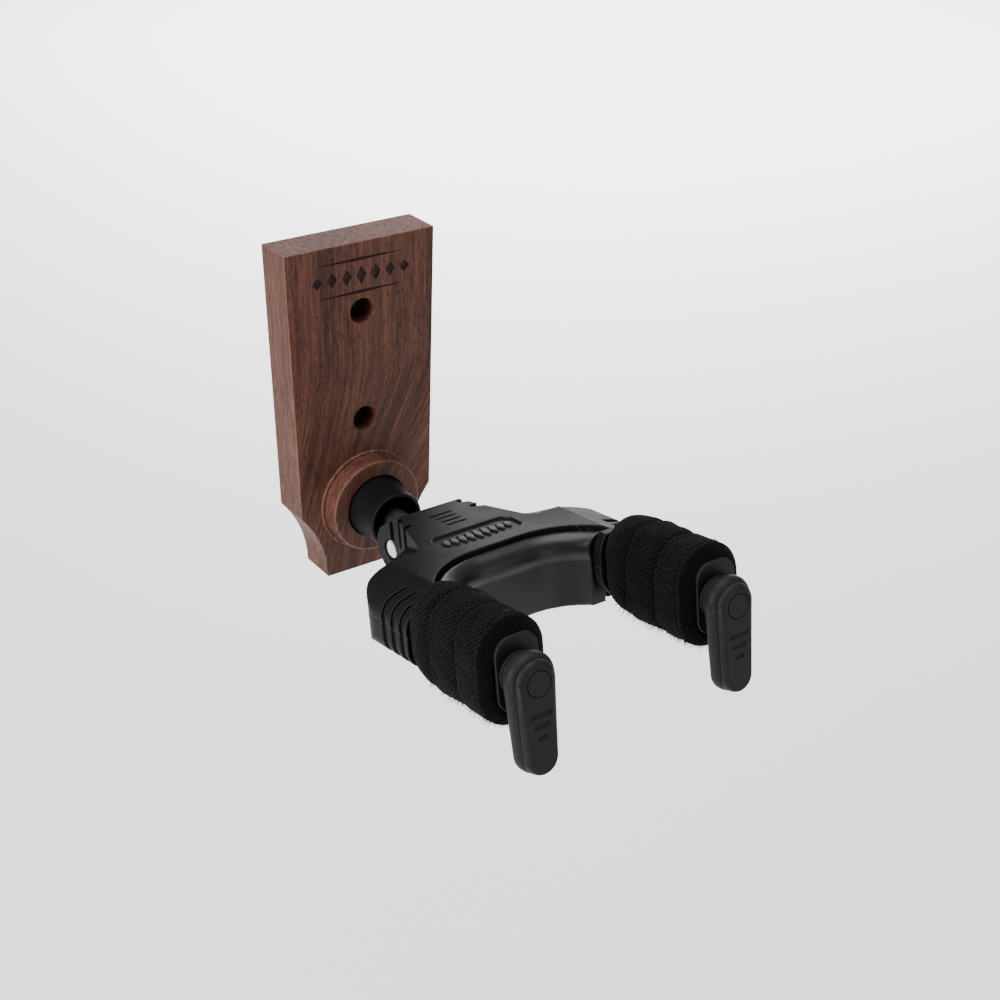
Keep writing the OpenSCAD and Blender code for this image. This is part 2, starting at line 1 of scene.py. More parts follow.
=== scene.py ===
"""Wall guitar hanger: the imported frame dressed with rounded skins, knitted
pads and procedural materials. +X right, +Y into the wall, +Z up. Lengths are
in mm, and in metres where a shader, a light or the floor uses them."""

import json
import math
import random

import bmesh
import bpy
from mathutils import Matrix, Vector, noise


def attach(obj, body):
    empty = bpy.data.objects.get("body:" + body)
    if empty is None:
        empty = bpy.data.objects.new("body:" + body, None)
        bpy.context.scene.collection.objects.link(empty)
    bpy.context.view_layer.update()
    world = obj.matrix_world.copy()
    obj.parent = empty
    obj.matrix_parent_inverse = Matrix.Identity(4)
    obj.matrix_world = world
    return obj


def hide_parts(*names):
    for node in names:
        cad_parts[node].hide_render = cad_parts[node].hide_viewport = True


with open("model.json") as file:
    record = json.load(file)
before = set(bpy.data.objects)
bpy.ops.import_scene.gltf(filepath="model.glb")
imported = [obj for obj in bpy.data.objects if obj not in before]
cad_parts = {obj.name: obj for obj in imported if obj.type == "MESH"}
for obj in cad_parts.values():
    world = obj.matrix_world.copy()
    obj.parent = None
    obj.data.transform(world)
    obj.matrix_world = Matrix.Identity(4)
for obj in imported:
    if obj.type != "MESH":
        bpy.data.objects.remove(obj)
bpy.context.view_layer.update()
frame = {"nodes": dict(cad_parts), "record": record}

MM = 0.001
PITCH = math.radians(9)                 # how far the yoke points up at rest
PIVOT = Vector((0, -68, -68)) * MM      # the yoke's pin
ARM_X, ARM_Z = 48.3, 4.2                # the arms' axes, in the yoke's frame
PAD_RIM = 51.4                          # a pad's rear edge to its sewn front rim
PAD_REAR = 4                            # cloth turned in behind the rear edge
LEFT, RIGHT = -1, 1
SIDE_NAMES = {LEFT: "left", RIGHT: "right"}

YOKE = Matrix.Translation(PIVOT) @ Matrix.Rotation(-PITCH, 4, "X")


def arm_matrix(side):
    """The frame of one arm: origin on its axis beside the pin, -Y to its end."""
    return YOKE @ Matrix.Translation(Vector((side * ARM_X, 0, ARM_Z)) * MM)


# ---- Materials ----

class Shader:
    """A small helper that builds one node material."""

    def __init__(self, name):
        self.mat = bpy.data.materials.new(name)
        self.mat.use_nodes = True
        self.tree = self.mat.node_tree
        self.tree.nodes.clear()
        self.out = self.node("ShaderNodeOutputMaterial")
        self.bsdf = self.node("ShaderNodeBsdfPrincipled")
        self.link(self.bsdf.outputs[0], self.out.inputs["Surface"])
        self.height = None

    def node(self, kind, **fields):
        made = self.tree.nodes.new(kind)
        for key, value in fields.items():
            setattr(made, key, value)
        return made

    def link(self, a, b):
        self.tree.links.new(a, b)

    def put(self, socket, value):
        """Sets a socket to a constant, or links it to an output."""
        if hasattr(value, "is_output"):
            self.link(value, socket)
        elif socket.type == "RGBA":
            socket.default_value = (*value, 1)
        else:
            socket.default_value = value

    def coords(self, scale=(1, 1, 1), shift=(0, 0, 0), turn=(0, 0, 0), source=None):
        made = self.node("ShaderNodeMapping")
        if source is None:
            source = self.node("ShaderNodeTexCoord").outputs["Object"]
        self.link(source, made.inputs["Vector"])
        made.inputs["Location"].default_value = shift
        made.inputs["Rotation"].default_value = turn
        made.inputs["Scale"].default_value = scale
        return made.outputs[0]

    def noise(self, vector, scale=1.0, detail=4.0, rough=0.55, distort=0.0):
        made = self.node("ShaderNodeTexNoise")
        self.link(vector, made.inputs["Vector"])
        made.inputs["Scale"].default_value = scale
        made.inputs["Detail"].default_value = detail
        made.inputs["Roughness"].default_value = rough
        made.inputs["Distortion"].default_value = distort
        return made.outputs["Fac"]

    def cells(self, vector, scale):
        made = self.node("ShaderNodeTexVoronoi")
        self.link(vector, made.inputs["Vector"])
        made.inputs["Scale"].default_value = scale
        return made.outputs["Distance"]

    def ramp(self, fac, *stops):
        made = self.node("ShaderNodeValToRGB")
        self.link(fac, made.inputs[0])
        points = made.color_ramp.elements
        while len(points) < len(stops):
            points.new(0.5)
        for point, (place, colour) in zip(points, stops):
            point.position = place
            point.color = (*colour, 1)
        return made.outputs["Color"]

    def math(self, op, a, b=0.0):
        made = self.node("ShaderNodeMath", operation=op)
        self.put(made.inputs[0], a)
        self.put(made.inputs[1], b)
        return made.outputs[0]

    def times(self, first, *others):
        for other in others:
            first = self.math("MULTIPLY", first, other)
        return first

    def span(self, value, low, high, to_low=0.0, to_high=1.0):
        """Smooth step from to_low to to_high as value goes from low to high."""
        made = self.node("ShaderNodeMapRange", interpolation_type="SMOOTHSTEP")
        self.put(made.inputs["Value"], value)
        for name, number in (("From Min", low), ("From Max", high),
                             ("To Min", to_low), ("To Max", to_high)):
            made.inputs[name].default_value = number
        return made.outputs["Result"]

    def within(self, value, half, fade):
        """1 where value is within half of 0, falling to 0 over fade."""
        return self.span(self.math("ABSOLUTE", value), half, half + fade, 1, 0)

    def mix(self, fac, a, b):
        made = self.node("ShaderNodeMix", data_type="RGBA")
        self.put(made.inputs["Factor"], fac)
        colours = [s for s in made.inputs if s.type == "RGBA"]
        self.put(colours[0], a)
        self.put(colours[1], b)
        return [s for s in made.outputs if s.type == "RGBA"][0]

    def split(self, vector):
        made = self.node("ShaderNodeSeparateXYZ")
        self.link(vector, made.inputs[0])
        return made.outputs

    def shove(self, by, scale, vector):
        """vector + by * scale."""
        made = self.node("ShaderNodeVectorMath", operation="MULTIPLY_ADD")
        self.link(by, made.inputs[0])
        made.inputs[1].default_value = scale
        self.link(vector, made.inputs[2])
        return made.outputs[0]

    def bump(self, height, strength, distance):
        """Adds a bump layer on top of those made so far."""
        made = self.node("ShaderNodeBump")
        made.inputs["Strength"].default_value = strength
        made.inputs["Distance"].default_value = distance
        self.link(height, made.inputs["Height"])
        if self.height is not None:
            self.link(self.height, made.inputs["Normal"])
        self.height = made.outputs[0]

    def edges(self, low, high):
        """1 on convex edges, 0 elsewhere."""
        pointy = self.node("ShaderNodeNewGeometry").outputs["Pointiness"]
        return self.span(pointy, low, high)

    def finish(self, colour, rough, metal=0.0, **more):
        self.put(self.bsdf.inputs["Base Color"], colour)
        self.put(self.bsdf.inputs["Roughness"], rough)
        self.put(self.bsdf.inputs["Metallic"], metal)
        for name, value in more.items():
            self.put(self.bsdf.inputs[name.replace("_", " ")], value)
        if self.height is not None:
            self.link(self.height, self.bsdf.inputs["Normal"])
        return self.mat


def grey(value, cool=0.0):
    """A grey, with its blue raised by cool."""
    return (value, value, value + cool)


def plastic(name, dark, light, rough, grain=0.25, shine=0.2):
    """Moulded plastic: fine spark-eroded grain, faint flow marks, and a painted highlight on
    convex edges.
    """
    s = Shader(name)
    at = s.coords()
    fine = s.noise(at, 5200, 3, 0.7)
    cells = s.cells(at, 3600)
    cloud = s.noise(at, 38, 4, 0.6)
    tint = s.mix(cloud, dark, light)
    # Painted highlight: a paler colour along convex edges
    tint = s.mix(s.times(s.edges(0.52, 0.6), 0.5), tint,
                 tuple(min(1.0, 2.0 * c + 0.012) for c in light))
    s.bump(fine, grain, 0.00006)
    s.bump(cells, grain * 0.5, 0.00005)
    roughness = s.span(cloud, 0.3, 0.7, rough - 0.06, rough + 0.06)
    return s.finish(tint, roughness, Specular_IOR_Level=shine)


def shell_plastic():
    """The shells' plastic, with the raised badge rubbed paler."""
    s = Shader("shell_plastic")
    at = s.coords()
    # Undo the yoke's place and pitch
    moved = s.coords(shift=tuple(-PIVOT), source=at)
    x, y, z = s.split(s.coords(turn=(PITCH, 0, 0), source=moved))
    fine = s.noise(at, 5200, 3, 0.7)
    cells = s.cells(at, 3600)
    cloud = s.noise(at, 34, 4, 0.6)
    tint = s.mix(cloud, grey(0.0036, 0.0002), grey(0.0062, 0.0003))
    # Painted highlight: a much paler grey along convex edges
    tint = s.mix(s.times(s.edges(0.515, 0.58), 0.7), tint, grey(0.050, 0.002))
    badge_y, badge_top = 0.0478, 0.0170
    badge = s.times(s.within(x, 0.0195, 0.0005),
                    s.within(s.math("ADD", y, badge_y), 0.0062, 0.0004),
                    s.span(z, badge_top, badge_top + 0.00022))
    wear_and_highlight = s.span(s.noise(at, 900, 4, 0.7), 0.35, 0.6, 0.45, 1.0)
    tint = s.mix(s.times(badge, wear_and_highlight), tint, grey(0.062, -0.002))
    s.bump(fine, 0.25, 0.00006)
    s.bump(cells, 0.13, 0.00005)
    roughness = s.span(cloud, 0.3, 0.7, 0.44, 0.54)
    return s.finish(tint, roughness, Specular_IOR_Level=0.07)


def metal(name, colour, rough, scratch=0.3):
    """Plated or brushed metal with fine scratches and a cloudy finish."""
    s = Shader(name)
    at = s.coords()
    cloud = s.noise(at, 160, 4, 0.6)
    fine = s.noise(at, 2600, 3, 0.7)
    tint = s.mix(cloud, tuple(c * 0.82 for c in colour), colour)
    s.bump(fine, scratch, 0.00003)
    return s.finish(tint, s.span(cloud, 0.3, 0.7, rough - 0.06, rough + 0.08), 1.0)


# The plate, in metres
PLATE_FRONT, PLATE_TOP = -0.0203, 0.0590
FLANK_X, FLANK_SLOPE = 0.036622, 0.02335        # half width at z = 0, and its slope
FOOT_TOP = -0.070                               # where the scooped foot begins
BOSS_DROP = 0.068
BOSS_RIMS = ((0.0246, -0.0213), (0.0226, -0.0294))      # radius, front face
ENGRAVED_X, ENGRAVED_Z = 0.0300, (0.0320, 0.0555)


def swept_grain(s, at, below):
    """Coordinates whose Z follows the grain: straight at the top, and swept
    sideways by how far below the turn a point lies."""
    warp = s.noise(s.coords(scale=(16, 16, 6)), 1.0, 3, 0.5)
    x, y, z = s.split(at)
    sweep = s.math("DIVIDE", s.times(below, below), s.math("ADD", below, 0.05))
    across = s.math("ADD", x, s.times(sweep, s.span(x, -0.03, 0.03, 0.35, 0.95)))
    swept = s.node("ShaderNodeCombineXYZ")
    for socket, value in zip(swept.inputs, (across, y, z)):
        s.put(socket, value)
    return s.shove(warp, (0.007, 0.005, 0.0), swept.outputs[0])


def corner_highlights(s, x, y, z, side):
    """1 along the plate's front and top corners and the rims of its boss, where a highlight is
    painted.
    """
    beside = s.span(side, 0.0002, 0.0006, 1, 0)
    front = s.span(y, PLATE_FRONT + 0.0002, PLATE_FRONT + 0.0006, 1, 0)
    above = s.span(z, PLATE_TOP - 0.0006, PLATE_TOP - 0.0002)
    wear_and_highlight = s.math("MAXIMUM", s.times(beside, front),
                  s.times(above, s.math("MAXIMUM", beside, front)))
    down = s.math("ADD", z, BOSS_DROP)
    radius = s.math("SQRT", s.math("ADD", s.times(x, x), s.times(down, down)))
    for rim_radius, face in BOSS_RIMS:
        rim = s.times(s.within(s.math("SUBTRACT", radius, rim_radius), 0.0001, 0.0003),
                      s.span(y, face, face + 0.0006, 1, 0))
        wear_and_highlight = s.math("MAXIMUM", wear_and_highlight, rim)
    return wear_and_highlight


def stained_wood():
    """Dark red-brown hardwood: straight grain along Z, open pores, a broad
    figure that curves across the lower half, and burnt-dark engraving."""
    s = Shader("stained_wood")
    at = s.coords()
    x, y, z = s.split(at)
    below = s.math("MAXIMUM", s.math("SUBTRACT", 0.004, z), 0.0)
    bent = swept_grain(s, at, below)
    bands = s.noise(s.coords(scale=(95, 40, 5), source=bent), 1.0, 5, 0.6, 0.5)
    streak = s.noise(s.coords(scale=(520, 520, 17), source=bent), 1.0, 6, 0.7)
    fine = s.noise(s.coords(scale=(1500, 1500, 75), source=bent), 1.0, 4, 0.7)
    pores = s.noise(s.coords(scale=(1350, 1350, 230), source=bent), 1.0, 3, 0.7)
    swath = s.math("SUBTRACT", s.split(bent)[0], 0.030)
    figure = s.times(s.within(swath, 0.0015, 0.0050), s.span(below, 0.0, 0.012))
    base = s.ramp(bands, (0.32, (0.0290, 0.0090, 0.0060)), (0.47, (0.0580, 0.0198, 0.0129)),
                  (0.58, (0.0899, 0.0315, 0.0198)), (0.72, (0.1305, 0.0483, 0.0300)))
    base = s.mix(0.5, base, s.ramp(streak, (0.34, (0.0203, 0.0071, 0.0051)),
                                   (0.5, (0.0667, 0.0242, 0.0157)),
                                   (0.66, (0.1522, 0.0600, 0.0386))))
    base = s.mix(s.times(figure, 0.75), base, (0.0333, 0.0124, 0.0097))
    base = s.mix(s.span(fine, 0.54, 0.70, 0.0, 0.5), base, (0.1958, 0.0849, 0.0558))
    base = s.mix(s.span(fine, 0.46, 0.32, 0.0, 0.55), base, (0.0145, 0.0052, 0.0039))
    pore = s.span(pores, 0.38, 0.46, 1, 0)
    base = s.mix(s.times(pore, 0.7), base, (0.0101, 0.0038, 0.0029))
    # Painted highlights: paler wood along the corners and the boss rims, and painted light on the
    # flanks
    side = s.math("SUBTRACT", s.math("ADD", s.times(z, FLANK_SLOPE), FLANK_X),
                  s.math("ABSOLUTE", x))
    # Painted highlight along the corners and rims, broken up by the grain
    wear_and_highlight = s.times(corner_highlights(s, x, y, z, side), s.span(streak, 0.3, 0.6, 0.1, 0.4))
    base = s.mix(wear_and_highlight, base, (0.2750, 0.1100, 0.0720))
    # Painted light: the flanks above the foot are made paler
    flank_painted_light = s.times(s.span(side, -0.001, 0.0003, 1, 0), s.span(z, FOOT_TOP - 0.005, FOOT_TOP))
    base = s.mix(s.times(flank_painted_light, 0.45), base, (0.2300, 0.1500, 0.1230))
    # The engraving's floor, just behind the front face
    burnt = s.times(s.span(y, PLATE_FRONT + 0.00015, PLATE_FRONT + 0.00045),
                    s.span(z, ENGRAVED_Z[0] - 0.001, ENGRAVED_Z[0]),
                    s.span(z, ENGRAVED_Z[1], ENGRAVED_Z[1] + 0.0005, 1, 0),
                    s.within(x, ENGRAVED_X, 0.0005),
                    s.span(y, PLATE_FRONT + 0.0013, PLATE_FRONT + 0.0018, 1, 0))
    base = s.mix(s.times(burnt, 0.85), base, (0.010, 0.004, 0.003))
    s.bump(pores, 0.5, 0.00016)
    s.bump(fine, 0.4, 0.00016)
    s.bump(streak, 0.2, 0.0002)
    return s.finish(base, s.span(streak, 0.3, 0.7, 0.64, 0.5), Specular_IOR_Level=0.2)


def knit_fabric():
    """Brushed knit: fine ribs along the arm, broken into short loops."""
    s = Shader("knit_fabric")
    uv = s.node("ShaderNodeUVMap", uv_map="weave").outputs[0]
    at = s.coords()
    jitter = s.noise(at, 380, 3, 0.6)
    u, v, _ = s.split(s.shove(jitter, (0.0011, 0.0022, 0), uv))
    rib_pitch, loop_pitch = 0.00125, 0.0024
    ribs = s.math("SINE", s.times(u, 2 * math.pi / rib_pitch))
    ribs = s.span(ribs, -0.9, 0.9)
    # Loops: each rib is nipped at a regular pitch, staggered from its neighbour
    lean = s.math("ADD", v, s.times(u, 0.9))
    nips = s.math("SINE", s.times(lean, 2 * math.pi / loop_pitch))
    nips = s.span(nips, -1.0, 0.2)
    loops = s.times(ribs, nips)
    hair_and_glints = s.noise(at, 3600, 5, 0.75, 0.8)
    lint_and_glints = s.noise(at, 1500, 4, 0.7, 1.5)
    cloud = s.noise(at, 60, 3, 0.6)
    dark_tone_and_painted_shade = grey(0.0008, 0.0001)
    # Painted shade between the ribs and loops, painted highlight on their tops
    tint = s.mix(loops, grey(0.0002, 0.0001), grey(0.0095, 0.0004))
    # Paler hairs and lint specks: loose fibres, partly painted highlights on the knit
    tint = s.mix(s.span(hair_and_glints, 0.52, 0.70, 0, 0.6), tint, grey(0.0240, 0.0006))
    tint = s.mix(s.span(lint_and_glints, 0.64, 0.76, 0, 0.6), tint, grey(0.055, 0.001))
    tint = s.mix(s.span(cloud, 0.4, 0.75, 0, 0.45), tint, dark_tone_and_painted_shade)
    # Past the sewn rim the cloth turns in; there the knit is covered with a flat dark colour,
    # painted shade
    rim = (PAD_REAR + PAD_RIM + 0.6) * MM
    tint = s.mix(s.times(s.span(v, rim, rim + 0.0008), 0.85), tint, dark_tone_and_painted_shade)
    s.bump(loops, 1.0, 0.0008)
    s.bump(hair_and_glints, 0.8, 0.0004)
    return s.finish(tint, 0.95, Sheen_Weight=0.02, Sheen_Roughness=0.5,
                    Specular_IOR_Level=0.05)


def fuzz_fibre():
    """Loose fibres standing off the knit."""
    s = Shader("fuzz_fibre")
    tone = s.noise(s.coords(), 900, 2, 0.5)
    tint = s.mix(tone, grey(0.001, 0.0001), grey(0.005, 0.0002))
    return s.finish(tint, 0.9, Specular_IOR_Level=0.1)


def foam_material():
    s = Shader("closed_foam")
    at = s.coords()
    s.bump(s.cells(at, 1700), 0.5, 0.0004)
    tint = s.mix(s.noise(at, 300, 3, 0.6), grey(0.012), grey(0.03))
    return s.finish(tint, 0.9)


MATERIALS = {
    "stained_wood": stained_wood(),
    "shell": shell_plastic(),
    "black_plastic": plastic("black_plastic", grey(0.0025, 0.0002), grey(0.0045, 0.0003), 0.5),
    "sleeve": plastic("sleeve_plastic", grey(0.0020, 0.0002), grey(0.0035, 0.0003),
                      0.5, 0.25, 0.12),
    "liner": plastic("liner_plastic", grey(0.0030, 0.0003), grey(0.0055, 0.0003),
                     0.36, 0.12, 0.34),
    "gate": plastic("gate_plastic", grey(0.0085, 0.0004), grey(0.0125, 0.0005),
                    0.5, 0.16, 0.10),
    "plated_steel": metal("plated_steel", (0.62, 0.63, 0.65), 0.3),
    "dark_metal": metal("dark_metal", (0.07, 0.07, 0.075), 0.5),
    "bright_pin": metal("bright_pin", (0.9, 0.9, 0.91), 0.32, 0.15),
    "foam": foam_material(),
    "knit_fabric": knit_fabric(),
    "fuzz": fuzz_fibre(),
}

# Slots whose material has another name
BY_SLOT = {"liner_plastic": "liner", "gate_plastic": "gate", "bearing_plastic": "black_plastic"}


def paint(obj, material):
    obj.data.materials.clear()
    obj.data.materials.append(MATERIALS[material])
    for face in obj.data.polygons:
        face.material_index = 0


for entry in frame["record"]["subparts"]:
    slot = entry["material_slot"]
    paint(frame["nodes"][entry["node"]], BY_SLOT.get(slot, slot))


# ---- Rounded skins over the CAD solids ----

def add_object(name, data):
    made = bpy.data.objects.new(name, data)
    bpy.context.scene.collection.objects.link(made)
    return made


def body_of_node(node):
    for body, members in frame["record"]["behaviour"]["bodies"].items():
        if node in members:
            return body
    raise KeyError(node)


def settle(obj):
    """Applies every modifier to the object's own mesh."""
    bpy.context.view_layer.update()
    graph = bpy.context.evaluated_depsgraph_get()
    mesh = bpy.data.meshes.new_from_object(obj.evaluated_get(graph))
    obj.modifiers.clear()
    obj.data = mesh


def soften(piece, voxel, rounds):
    """Rebuilds a piece as even quads with every edge rounded."""
    remesh = piece.modifiers.new("remesh", "REMESH")
    remesh.mode = "VOXEL"
    remesh.voxel_size = voxel * MM * 1.0
    ease = piece.modifiers.new("ease", "SMOOTH")
    ease.factor = 0.5
    ease.iterations = rounds
    settle(piece)
    piece.data.shade_smooth()


def welded(node):
    """An open bmesh of a CAD node, with its coincident vertices merged."""
    edit = bmesh.new()
    edit.from_mesh(frame["nodes"][node].data)
    bmesh.ops.remove_doubles(edit, verts=edit.verts, dist=1e-7)
    return edit


def copy_of(node, edit, name):
    """A new object with the node's data, reshaped by a bmesh that it closes."""
    mesh = frame["nodes"][node].data.copy()
    edit.to_mesh(mesh)
    edit.free()
    return add_object(name, mesh)


def skin(node, voxel, rounds, material, name):
    """A copy of a CAD node with its edges rounded, which replaces it."""
    piece = copy_of(node, welded(node), name)
    soften(piece, voxel, rounds)
    stand_in(piece, node, material)


def stand_in(piece, node, material):
    """Puts a finished piece on its node's body, in place of the node."""
    paint(piece, material)
    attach(piece, body_of_node(node))
    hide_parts(node)


def bevelled(node, width, material, name, crisp):
    """A copy of a CAD node with bevelled edges, except where crisp says so."""
    edit = welded(node)
    bmesh.ops.dissolve_limit(edit, angle_limit=math.radians(0.5), verts=edit.verts,
                             edges=edit.edges)
    weight = edit.edges.layers.float.new("bevel_weight_edge")
    for edge in edit.edges:
        middle = (edge.verts[0].co + edge.verts[1].co) / 2 / MM
        if edge.calc_face_angle(0.0) > math.radians(35) and not crisp(middle):
            edge[weight] = 1.0
    piece = copy_of(node, edit, name)
    piece.data.shade_smooth()
    bevel = piece.modifiers.new("bevel", "BEVEL")
    bevel.width = width * MM
    bevel.segments = 3
    bevel.limit_method = "WEIGHT"
    bevel.use_clamp_overlap = False
    settle(piece)
    piece.data.set_sharp_from_angle(angle=math.radians(38))
    even = piece.modifiers.new("even", "WEIGHTED_NORMAL")
    even.weight = 100
    even.keep_sharp = True
    settle(piece)
    stand_in(piece, node, material)


def in_engraving(at):
    return abs(at.x) < 31 and 31 < at.z < 56 and at.y < -18


bevelled("backplate", 0.45, "stained_wood", "wooden_plate", in_engraving)
skin("upper_shell", 0.3, 3, "shell", "upper_shell_moulding")
skin("lower_shell", 0.36, 4, "shell", "lower_shell_moulding")
skin("cradle_liner", 0.5, 8, "liner", "cradle_liner_moulding")
skin("neck_sleeve", 0.4, 4, "sleeve", "neck_sleeve_moulding")
for side, word in SIDE_NAMES.items():
    skin(f"end_plate_{word}", 0.3, 6, "black_plastic", f"end_plate_{word}_moulding")
    skin(f"gate_cap_{word}", 0.2, 4, "gate", f"gate_cap_{word}_moulding")


# ---- Gates ----

GATE_REACH = 38.7               # from the shaft's axis to the tip
GATE_BOSS = 10.8                # radius round the shaft
GATE_TIP = 8.7                  # radius at the tip
# (distance along the arm, radius) of the collar behind a gate
HUB = ((-145.72, 8.4), (-146.1, 8.75), (-148.9, 8.75), (-149.2, 8.4))
# (distance along the arm, how far in from the full outline)
BODY_RIM = ((-148.1, 2.0), (-148.5, 1.1), (-149.2, 0.4), (-150.2, 0.05), (-151.2, 0.0),
            (-152.2, 0.15), (-153.1, 0.55), (-153.9, 1.2), (-154.6, 2.1))
COVER_RIM = ((-154.7, 2.0), (-155.3, 2.05), (-155.9, 2.3), (-156.5, 2.8), (-157.0, 3.4),
             (-157.35, 4.0), (-157.6, 4.7))
CUT_FRONT = -158.5              # in front of the cover, where its cutters start
CAP_SEAT, CAP_SEAT_FLOOR = 5.4, -157.0          # the round cap's seat: radius, floor
GROOVE_FLOOR = -156.9


def gate_outline(boss, tip, count=48):
    """Outline of a gate, as (x, z): two arcs joined by straight flanks."""
    drop = GATE_REACH - (GATE_TIP + tip) / 2
    lean = math.asin((boss - tip) / drop)
    points = []
    for radius, centre, start, turn in ((boss, 0, -lean, math.pi + 2 * lean),
                                        (tip, -drop, math.pi + lean, math.pi - 2 * lean)):
        for i in range(count + 1):
            a = start + turn * i / count
            points.append((radius * math.cos(a), centre + radius * math.sin(a)))
    return points


def circle_outline(r, count=64):
    return [(r * math.cos(2 * math.pi * i / count), r * math.sin(2 * math.pi * i / count))
            for i in range(count)]


def loft(edit, sections):
    """Adds a closed loft to a bmesh: sections are (y, outline) in mm."""
    rings = [[edit.verts.new(Vector((x, y, z)) * MM) for x, z in outline]
             for y, outline in sections]
    count = len(rings[0])
    for a, b in zip(rings, rings[1:]):
        for k in range(count):
            l = (k + 1) % count
            edit.faces.new((a[k], a[l], b[l], b[k]))
    edit.faces.new(rings[0][::-1])
    edit.faces.new(rings[-1])


def solid(name, lofts):
    """An object made of closed lofts, normals outwards."""
    edit = bmesh.new()
    for sections in lofts:
        loft(edit, sections)
    bmesh.ops.recalc_face_normals(edit, faces=edit.faces)
    mesh = bpy.data.meshes.new(name)
    edit.to_mesh(mesh)
    edit.free()
    return add_object(name, mesh)


def carve(piece, outline, floor):
    """Cuts a pocket of the given outline into a gate's front, down to floor."""
    cutter = solid("cutter", [[(floor, outline), (CUT_FRONT, outline)]])
    cut = piece.modifiers.new("cut", "BOOLEAN")
    cut.operation = "DIFFERENCE"
    cut.solver = "EXACT"
    cut.object = cutter
    settle(piece)
    bpy.data.objects.remove(cutter)


def rim_sections(rim, tip_share):
    return [(y, gate_outline(GATE_BOSS - inset, GATE_TIP - inset * tip_share))
            for y, inset in rim]


def box_outline(cx, cz, half_w, half_h, r):
    """A rounded rectangle about (cx, cz)."""
    points = []
    for quarter, (sx, sz) in enumerate(((1, 1), (-1, 1), (-1, -1), (1, -1))):
        for i in range(7):
            a = math.radians(90 * quarter + 15 * i)
            points.append((cx + sx * (half_w - r) + r * math.cos(a),
                           cz + sz * (half_h - r) + r * math.sin(a)))
    return points


def add_gate(side):
    word = SIDE_NAMES[side]
    body = solid(f"gate_arm_{word}", [[(y, circle_outline(r)) for y, r in HUB],
                                      rim_sections(BODY_RIM, 0.85)])
    soften(body, 0.22, 2)
    cover = solid(f"gate_face_{word}", [rim_sections(COVER_RIM, 0.62)])
    carve(cover, circle_outline(CAP_SEAT), CAP_SEAT_FLOOR)
    for i in range(3):
        # Each groove is lower and shorter than the last
        groove = box_outline(0, -12.4 - 4.7 * i, 4.9 - 1.35 * i, 1.15, 0.6)
        carve(cover, groove, GROOVE_FLOOR)
    soften(cover, 0.18, 2)
    for piece, node in ((body, "gate_body"), (cover, "gate_cover")):
        piece.data.transform(arm_matrix(side))
        paint(piece, "gate")
        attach(piece, f"gate_{word}")
        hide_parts(f"{node}_{word}")


for side in (LEFT, RIGHT):
    add_gate(side)


# ---- Knitted pads ----

PAD_HW, PAD_HH = 15.7, 22.3     # half width and half height of the section
CORE_HW, CORE_HH = 10.4, 16.0   # the same of the hole
PAD_START = -88.9               # the rear edge, along the arm
PAD_DROP = 0.8                  # how far the pad hangs below the arm's axis
REAR_TAPER, REAR_ROUND = 2.7, 2.6
RIM_ROUND = 0.9
CREASE = 0.32 * PAD_RIM         # the deep crease in front of the first band
SEAM = 0.67 * PAD_RIM           # the shallower one in front of the second


def stadium_point(hw, hh, t):
    """A point and its outward direction on a stadium, t from 0 to 1."""
    straight = hh - hw
    arc = math.pi * hw
    total = 2 * arc + 4 * straight
    d = (t % 1.0) * total
    if d < straight:
        return (hw, d), (1, 0), total
    d -= straight
    if d < arc:
        a = d / hw
        return (hw * math.cos(a), straight + hw * math.sin(a)), (math.cos(a), math.sin(a)), total
    d -= arc
    if d < 2 * straight:
        return (-hw, straight - d), (-1, 0), total
    d -= 2 * straight
    if d < arc:
        a = math.pi + d / hw
        return (hw * math.cos(a), -straight + hw * math.sin(a)), (math.cos(a), math.sin(a)), total
    d -= arc
    return (hw, -straight + d), (1, 0), total


def bell(gap, width):
    return math.exp(-(gap / width) ** 2)


def rounding(gap, radius):
    """How far a rounded edge falls back at a distance gap from its end."""
    if gap >= radius:
        return 0.0
    return radius - math.sqrt(max(0.0, radius ** 2 - (radius - gap) ** 2))


def fold(gap, depth, slope):
    """A crease: a slope behind it and a steep wall in front."""
    return depth * math.exp(gap / slope if gap < 0 else -gap / 0.7)


def band_inset(s, swing):
    """How far the pad's surface lies inside its outline at s mm along it, and
    how firmly it is sewn down there."""
    inset = REAR_TAPER * max(0.0, 1 - s / 13.0) ** 1.6
    inset += rounding(s, REAR_ROUND) + rounding(PAD_RIM - s, RIM_ROUND)
    crease, seam, welt = s - CREASE - swing, s - SEAM - swing, PAD_RIM - s
    inset += fold(crease, 3.1, 2.8) - 0.45 * bell(crease - 2.6, 2.0) + fold(seam, 2.1, 2.2)
    # A thin welt just behind the sewn front edge
    inset += 0.45 * bell(welt - 2.3, 0.55)
    return inset, max(bell(crease, 1.1), 0.9 * bell(seam, 1.1), bell(welt, 2.5))


def pad_rows(count):
    """Rows round the pad's section: (kind, how far along, share)."""
    rows = [("rear", 0.6 * (1 - i / PAD_REAR), i / PAD_REAR) for i in range(PAD_REAR)]
    rows += [("side", PAD_RIM * i / count, None) for i in range(count + 1)]
    rows += [("front", PAD_RIM + 3.3 * math.sin(i / 8 * math.pi / 2), 1 - i / 8)
             for i in range(1, 9)]
    return rows


